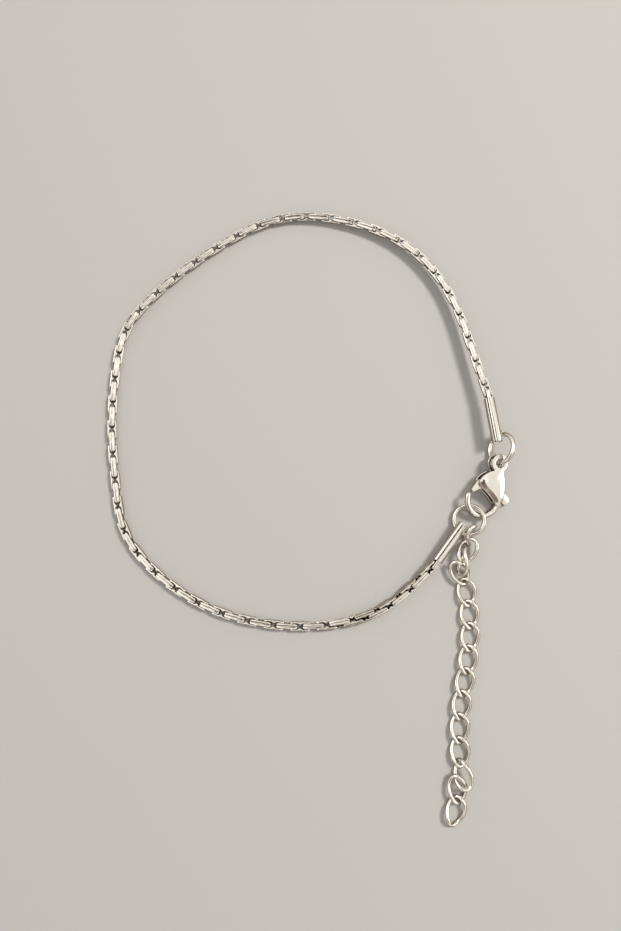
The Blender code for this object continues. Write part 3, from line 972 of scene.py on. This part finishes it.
@dataclass
class LobsterClasp:
    """The clasp: two domed side plates, a round hook and the lever between the plates."""

    eye: Row = (25.85, 5.22, 1.82)
    heading: float = 74.0
    pitch: float = 6.5
    roll: float = 17.5
    channel: float = 0.74
    sheet: float = 0.32
    dome: float = 0.38
    flank: float = 0.60
    flank_turn: float = 0.24
    neck_rise: Point = (-0.75, -2.30)
    heel_fall: Point = (-4.70, -5.90)
    crown: float = 0.03
    edge: float = 0.10
    grid: float = 0.085
    grid_clearance: float = 1.35
    rim_shares: Row = (0.12, 0.42, 1.0)
    triangles_inside: int = 1  # the triangulation's kind
    nearness: float = 1e-5
    spacing: float = 0.07
    dome_spacing: float = 0.1
    rounds: int = 3
    shadow_reach: float = 0.12
    shadow_start: float = 1.1
    eye_radius: float = 1.22
    eye_arc: Point = (-48.0, 250.0)
    eye_steps: int = 30
    eye_hole: float = 0.63
    hole_steps: int = 72
    hook_centre: Point = (-0.72, -5.30)
    hook_radius: float = 2.25
    hook_steps: int = 72
    hook_sides: int = 28
    hook_rows: Sequence[Row] = (
        # angle, half the width and half the thickness
        (22.0, 0.30, 0.92),
        (8.0, 0.33, 0.86),
        (-6.0, 0.38, 0.78),
        (-20.0, 0.40, 0.64),
        (-45.0, 0.395, 0.46),
        (-75.0, 0.385, 0.39),
        (-110.0, 0.38, 0.36),
        (-150.0, 0.375, 0.345),
        (-192.0, 0.36, 0.335),
    )
    hook_tip: Sequence[float] = (0.35, 0.72, 0.90, 0.97)
    pivot: Point = (0.15, -3.20)
    lever_thickness: float = 0.60
    lever_edge: float = 0.10
    lug_reach: float = 2.82
    lug_radius: float = 0.60
    lug_angle: float = -30.0
    lug_steps: int = 14
    shoulder: Sequence[Point] = ((-0.85, -1.26), (-1.55, -1.80), (-2.05, -2.42), (-2.24, -2.95), (-2.10, -3.45),
                                 (-1.65, -3.85))
    inner_edge: Sequence[Point] = ((-0.55, -4.40), (0.35, -4.98), (0.90, -5.45))
    outer_edge: Sequence[Point] = ((1.84, -4.80), (1.78, -3.95), (1.66, -3.10), (1.42, -2.25), (1.04, -1.45))
    heel: Point = (1.50, -5.46)
    heel_radius: float = 0.38
    heel_arc: Point = (190.0, 360.0)
    heel_steps: int = 8
    dome_edge: Sequence[Point] = ((0.55, 0.10), (-0.25, -0.55), (-0.85, -1.35), (-1.52, -1.86), (-2.12, -2.66),
                                  (-2.06, -3.44), (-1.55, -3.86), (-0.50, -4.34), (0.40, -4.94), (1.10, -5.75),
                                  (2.10, -5.60), (2.18, -3.95), (2.04, -3.05), (1.80, -2.10), (1.45, -1.10))
    posts: Sequence[Row] = ((0.70, -1.58, 0.34), (1.36, -5.38, 0.36))
    lever_outline: Sequence[Point] = ((0.75, 0.25), (0.40, 0.60), (-0.25, 0.66), (-1.20, 0.62), (-1.95, 0.50),
                                      (-2.45, 0.20), (-3.04, -1.24), (-2.66, -1.56), (-1.88, -0.92),
                                      (-1.00, -0.60), (0.10, -0.70), (0.60, -0.85))

    def place(self) -> Matrix:
        """The clasp's frame, with its origin in the eye and Z out of its upper plate."""
        upright = placed(self.eye, direction(self.heading, self.pitch)) @ turned(-90.0, "Z")
        return upright @ turned(self.roll, "Y")

    def outline(self) -> np.ndarray:
        """Draws the side plate's outline.

        Returns:
            The outline, finely spaced, a row for each point.
        """
        eye = arc((0.0, 0.0), self.eye_radius, *self.eye_arc, self.eye_steps)
        heel = arc(self.heel, self.heel_radius, *self.heel_arc, self.heel_steps)
        return respaced(softened([*eye, *self.shoulder, *self.inner_edge, *heel, *self.outer_edge], self.rounds),
                        self.spacing)

    def height(self, points: np.ndarray) -> np.ndarray:
        """Works out the height of the plate's outer face, before its edges are rounded.

        Args:
            points: Places on the plate, a row for each.

        Returns:
            The height over the clasp's middle plane.
        """
        inside = depth_inside(points, respaced(softened(self.dome_edge, self.rounds), self.dome_spacing))
        rise = self.dome * ramp(inside / self.flank, self.flank_turn)
        crown = self.crown * ramp((inside - self.flank) / self.flank, self.flank_turn)
        shares = [ramp((points[:, 1] - none) / (full - none), self.flank_turn)
                  for none, full in (self.neck_rise, self.heel_fall[::-1])]
        return self.channel / 2 + self.sheet + (rise + crown) * shares[0] * shares[1]

    def cheek(self) -> Mesh:
        """Builds the upper side plate.

        Returns:
            A closed mesh with a domed outer face and a flat inner face, which has shade painted on it inside its rim.
        """
        outline = self.outline()
        hole = respaced(np.array(arc((0.0, 0.0), self.eye_hole, 0.0, 360.0, self.hole_steps)[:-1]), self.spacing)
        low, high = outline.min(axis=0), outline.max(axis=0)
        columns = np.arange(low[0], high[0], self.grid)
        lines = np.arange(low[1], high[1], self.grid * math.sqrt(0.75))
        spots = np.array([(x + (index % 2) * self.grid / 2, y) for index, y in enumerate(lines) for x in columns])
        clear = np.minimum(depth_inside(spots, outline), -depth_inside(spots, hole))
        spots = spots[clear > self.edge * self.grid_clearance]
        rims = []
        for ring, outward in ((outline, 1.0), (hole, -1.0)):
            side = np.roll(ring, -1, axis=0) - np.roll(ring, 1, axis=0)
            normal = np.column_stack((-side[:, 1], side[:, 0])) / np.linalg.norm(side, axis=1)[:, None]
            rims += [ring + normal * outward * self.edge * share for share in self.rim_shares]
        points = np.vstack([outline, hole, *rims, spots])
        first, second = len(outline), len(hole)
        loops = [list(range(first)), list(range(first, first + second))]
        edges = [(loop[index], loop[(index + 1) % len(loop)]) for loop in loops for index in range(len(loop))]
        corners, _, faces, *_ = delaunay_2d_cdt([Vector(point) for point in points], edges, [],
                                                self.triangles_inside, self.nearness)
        spread = np.array([tuple(corner) for corner in corners])
        middles = np.array([spread[list(face)].mean(axis=0) for face in faces])
        keep = (depth_inside(middles, outline) > 0.0) & (depth_inside(middles, hole) < 0.0)
        from_rim = np.minimum(np.abs(depth_inside(spread, outline)), np.abs(depth_inside(spread, hole)))
        short = np.clip(1.0 - from_rim / self.edge, 0.0, 1.0)
        rounding = self.edge * (1.0 - np.sqrt(1.0 - short ** 2))
        tall, low_side = self.height(spread) - rounding, self.channel / 2 + rounding
        # Painted shade on the flat inner face, growing inwards from just inside the rim.
        shadow = np.clip(from_rim / self.shadow_reach - self.shadow_start, 0.0, 1.0)
        work = bmesh.new()
        recess = work.verts.layers.float.new("recess")
        upper, lower = ([work.verts.new((x, y, z)) for (x, y), z in zip(spread, side)] for side in (tall, low_side))
        work.verts.index_update()
        for corner, value in zip(lower, shadow):
            corner[recess] = value
        kept = [face for face, inside in zip(faces, keep) if inside]
        for face in kept:
            work.faces.new([upper[index] for index in face])
        rim = [[corner.index for corner in edge.verts] for edge in work.edges if edge.is_boundary]
        for face in kept:
            work.faces.new([lower[index] for index in reversed(face)])
        for near, far in rim:
            work.faces.new((upper[near], upper[far], lower[far], lower[near]))
        loose = [corner for corner in work.verts if not corner.link_faces]
        bmesh.ops.delete(work, geom=loose, context="VERTS")
        bmesh.ops.recalc_face_normals(work, faces=work.faces)
        mesh = written(work, "cheek")
        mesh.shade_smooth()
        mesh.set_sharp_from_angle(angle=SHARP_ANGLE)
        return mesh

    def hook(self) -> Mesh:
        """Builds the hook, thick and high at its root and rounded at its tip.

        Returns:
            The hook's mesh.
        """
        angles, widths, heights = np.array(self.hook_rows).T
        route = flat(arc(self.hook_centre, self.hook_radius, angles[0], angles[-1], self.hook_steps))
        stops = np.linspace(angles[0], angles[-1], self.hook_steps + 1)
        radii = [np.interp(stops, angles[::-1], sizes[::-1]) for sizes in (widths, heights)]
        for size in radii:
            size[-len(self.hook_tip):] *= self.hook_tip[::-1]
        return round_wire(route, Vector((*self.hook_centre, 0.0)), radii[0].tolist(), self.hook_sides,
                          closed=False, heights=radii[1].tolist())

    def lever(self) -> Mesh:
        """Builds the lever, with its gate tip and its thumb lug.

        Returns:
            The lever's mesh.
        """
        lug = on_circle((0.0, 0.0), self.lug_reach, self.lug_angle)
        outline = arc(lug, self.lug_radius, self.lug_angle - 90.0, self.lug_angle + 90.0, self.lug_steps)
        mesh = plate(outline + list(self.lever_outline), self.lever_thickness, self.lever_edge)
        mesh.transform(Matrix.Translation((*self.pivot, 0.0)))
        return mesh

    def build(self) -> None:
        """Builds the clasp and dresses its pin."""
        place = self.place()
        cheek = self.cheek()
        mirrored = cheek.copy()
        mirrored.transform(Matrix.Scale(-1.0, 4, (0.0, 0.0, 1.0)))
        mirrored.flip_normals()
        height = self.channel + self.sheet
        bars = [post((x, y, 0.0), radius, height) for x, y, radius in self.posts]
        body = joined([cheek, mirrored, self.hook(), *bars])
        body.transform(place)
        finished("clasp_shell", body, MIRROR_STEEL, ["clasp_body"])
        lever = self.lever()
        lever.transform(place)
        finished("clasp_gate", lever, TUMBLED_STEEL, ["clasp_lever"], LEVER_BODY)
        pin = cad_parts["clasp_pin"]
        pin.data.materials.clear()
        pin.data.materials.append(TUMBLED_STEEL.material())


@dataclass
class ExtensionChain:
    """The curb links of the extension chain."""

    pitch: float = 2.95
    wire: float = 0.51
    slack: float = 0.18
    width: float = 2.71
    twist: float = 34.0
    rest: float = 0.555
    steps: int = 56
    sides: int = 16
    run_first: int = 5
    run_count: int = 8
    run: Sequence[Row] = (
        # x, y
        (21.23, -10.63),
        (21.73, -14.43),
        (21.63, -19.23),
        (20.58, -25.03),
        (20.08, -28.33),
        (19.98, -34.03),
    )
    loose: Sequence[Row] = (
        # number, x, y, z, heading, dip, roll
        (1, 21.73, -4.42, 1.87, -94.0, 57.3, 105.4),
        (2, 21.55, -6.62, 1.16, -121.8, -0.6, -2.9),
        (3, 20.98, -7.96, 1.36, -100.6, 5.0, 83.5),
        (4, 20.52, -9.47, 1.04, -53.7, 21.9, 3.5),
        (13, 20.10, -35.16, 1.19, -79.0, -15.0, 35.0),
        (14, 19.44, -37.07, 0.87, -82.0, 11.0, -1.0),
        (15, 19.17, -39.82, 0.61, -106.0, 1.0, 0.0),
    )

    def link(self) -> Mesh:
        """Builds one twisted oval link.

        Returns:
            The link's mesh, with its length along X.
        """
        half_length = (self.pitch + self.slack + self.wire) / 2
        half_width = (self.width - self.wire) / 2
        route = []
        for step in range(self.steps):
            angle = 2 * math.pi * step / self.steps
            along, across = math.sin(angle), half_width * math.cos(angle)
            turn = math.radians(-self.twist * along)
            route.append(Vector((half_length * along, across * math.cos(turn), across * math.sin(turn))))
        return round_wire(route, Vector(), [self.wire / 2] * self.steps, self.sides, closed=True)

    def build(self) -> None:
        """Builds the extension chain."""
        joints = Route(self.run).stops(self.run_count + 1)
        places = {}
        for index in range(self.run_count):
            middle, step = (joints[index] + joints[index + 1]) / 2, joints[index + 1] - joints[index]
            places[self.run_first + index] = (Vector((*middle, self.rest)), Vector((*step, 0.0)), 0.0)
        for number, x, y, z, heading, dip, roll in self.loose:
            places[int(number)] = (Vector((x, y, z)), direction(heading, -dip), roll)
        ordered = [places[number] for number in sorted(places)]
        mesh = LinkTree.links(self.link(), ordered, 0.0, 0.0, 0, WIRE_STEEL)
        finished("extension_chain", mesh, WIRE_STEEL, [f"extension_link_{number:02d}" for number in sorted(places)])


@dataclass
class Stage:
    """The pale surface, the soft lights and the camera."""

    camera_place: Row = (0.00048, -0.00515, 0.08553)
    camera_tilt: float = 6.84
    focal_pixels: float = 622.0
    picture_height: float = 931.0
    sensor: float = 36.0
    floor_size: float = 3.0
    floor_colour: Row = (0.645, 0.63, 0.605)
    # colour that the surface shows only in the steel's reflections: a painted reflection
    floor_painted_reflection: Row = (0.34, 0.275, 0.22)
    floor_roughness: float = 0.75
    card_roughness: float = 0.9
    ambient: Row = (0.46, 0.45, 0.435)
    room: Sequence[tuple[float, Row]] = (
        # sine of the height above the horizon, colour
        (0.05, (0.44, 0.375, 0.31)),
        (0.30, (0.98, 0.91, 0.82)),
        (0.65, (1.10, 1.045, 0.95)),
        (0.92, (1.42, 1.37, 1.26)),
    )
    backdrop: Row = (0.62, 0.60, 0.57)
    cards: Sequence[tuple[str, Row, float, float, Row, float]] = (
        # name, place, width, height, colour, share of it that fades out
        ("card_near_camera", (0.005, 0.009, 0.090), 0.024, 0.054, (0.17, 0.115, 0.12), 0.10),
        ("card_over_clasp", (0.0155, -0.0090, 0.042), 0.022, 0.022, (0.20, 0.13, 0.12), 0.5),
        ("card_below", (-0.035, -0.17, 0.20), 0.30, 0.22, (0.54, 0.40, 0.395), 0.35),
    )
    lights: Sequence[tuple[str, Row, float, float, Row, bool]] = (
        # name, place, size, power, colour, seen in the steel
        ("lamp", (0.31, 0.19, 0.50), 0.13, 2.1, (1.0, 0.96, 0.90), False),
        ("window", (0.45, 0.0, 0.15), 0.30, 0.42, (1.0, 0.985, 0.93), True),
        ("sky", (-0.30, 0.12, 0.28), 0.20, 0.30, (0.97, 0.98, 1.0), True),
    )

    def floor(self) -> None:
        """Lays the pale surface, which shows a darker painted colour in the steel's reflections, so that the steel's
        sides stand out.
        """
        bpy.ops.mesh.primitive_plane_add(size=self.floor_size)
        floor = bpy.context.object
        floor.name = "surface"
        material, board, shader = shaded("pale_surface")
        glossy = board.add("ShaderNodeLightPath").outputs["Is Glossy Ray"]
        board.fill(shader, {"Base Color": board.mix(glossy, self.floor_colour, self.floor_painted_reflection),
                            "Roughness": self.floor_roughness})
        floor.data.materials.append(material)

    def card_finish(self, name: str, colour: Row, fade: float) -> bpy.types.Material:
        """Makes a dark card's finish.

        Args:
            name: The card's name.
            colour: Its colour.
            fade: The share of the card over which it fades out towards its edges.

        Returns:
            The material.
        """
        material, board, shader = shaded(name)
        corner = board.add("ShaderNodeTexCoord").outputs["UV"]
        from_middle = board.out("ShaderNodeVectorMath", {0: corner, 1: (0.5, 0.5, 0.5)}, operation="SUBTRACT")
        either_side = board.out("ShaderNodeVectorMath", {0: from_middle}, operation="ABSOLUTE")
        sides = board.add("ShaderNodeSeparateXYZ", {0: either_side}).outputs
        edge = board.math("MAXIMUM", sides["X"], sides["Y"])
        cover = board.out("ShaderNodeMapRange", {"Value": edge, "From Min": (1.0 - fade) / 2, "From Max": 0.5,
                                                 "To Min": 1.0, "To Max": 0.0}, interpolation_type="SMOOTHSTEP")
        board.fill(shader, {"Base Color": (*colour, 1.0), "Roughness": self.card_roughness, "Alpha": cover})
        return material

    def shade(self) -> None:
        """Hangs the dark cards, which are seen only in the steel, as its thin dark lines."""
        for name, place, width, height, colour, fade in self.cards:
            bpy.ops.mesh.primitive_plane_add(size=1.0)
            card = bpy.context.object
            card.name = name
            facing = (-Vector(place)).to_track_quat("-Z", "Y").to_matrix().to_4x4()
            card.data.transform(Matrix.Translation(place) @ facing @ Matrix.Diagonal((width, height, 1.0, 1.0)))
            card.data.materials.append(self.card_finish(name, colour, fade))
            card.visible_camera = card.visible_diffuse = card.visible_shadow = card.visible_transmission = False

    def surroundings(self) -> None:
        """Sets a soft room: dim for the surface, bright in the steel and plain behind the bracelet."""
        world = bpy.data.worlds.new("studio")
        world.use_nodes = True
        board = NodeBoard(world.node_tree)
        place = board.add("ShaderNodeTexCoord").outputs["Generated"]
        height = board.add("ShaderNodeSeparateXYZ", {0: place}).outputs["Z"]
        tones = board.add("ShaderNodeValToRGB", {"Fac": height})
        stops = tones.color_ramp.elements
        stops.remove(stops[1])
        stops[0].color = (*self.room[0][1], 1.0)
        for stop, colour in self.room:
            stops.new(stop).color = (*colour, 1.0)
        rays = board.add("ShaderNodeLightPath").outputs
        mirrored = board.mix(rays["Is Glossy Ray"], self.ambient, tones.outputs["Color"])
        seen = board.mix(rays["Is Camera Ray"], mirrored, self.backdrop)
        board.fill(world.node_tree.nodes["Background"], {"Color": seen})
        bpy.context.scene.world = world

    def light(self) -> None:
        """Hangs the lights."""
        for name, place, size, power, colour, mirrored in self.lights:
            data = bpy.data.lights.new(name, "AREA")
            data.shape = "SQUARE"
            data.size = size
            data.energy = power
            data.color = colour
            lamp = added(name, data)
            lamp.location = place
            lamp.rotation_euler = (-Vector(place)).to_track_quat("-Z", "Y").to_euler()
            lamp.visible_glossy, lamp.visible_diffuse = mirrored, not mirrored

    def camera(self) -> None:
        """Sets up the camera at the photograph's viewing angle."""
        data = bpy.data.cameras.new("camera")
        data.sensor_fit = "VERTICAL"
        data.sensor_height = self.sensor
        data.lens = self.focal_pixels / self.picture_height * self.sensor
        data.clip_start = MM
        camera = added("camera", data)
        camera.location = self.camera_place
        camera.rotation_euler = (math.radians(self.camera_tilt), 0.0, 0.0)
        bpy.context.scene.camera = camera

    def build(self) -> None:
        """Sets the whole stage."""
        self.camera()
        self.floor()
        self.shade()
        self.surroundings()
        self.light()
        bpy.context.scene.view_settings.view_transform = "Standard"


def main() -> None:
    """Builds the bracelet around the frame."""
    logging.basicConfig(level=logging.INFO, format="%(name)s %(message)s")
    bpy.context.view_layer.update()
    pieces = (
        Stage(),
        MainChain(),
        JumpRing("jump_ring_top", (26.32, 7.19, 2.08), 57.0, -7.0, 150.0, wire=0.58),
        JumpRing("jump_ring_low", (21.91, -2.46, 1.14), 15.5, 1.0, 120.0),
        LobsterClasp(),
        ExtensionChain(),
    )
    for piece in pieces:
        piece.build()


if __name__ == "__main__":
    main()
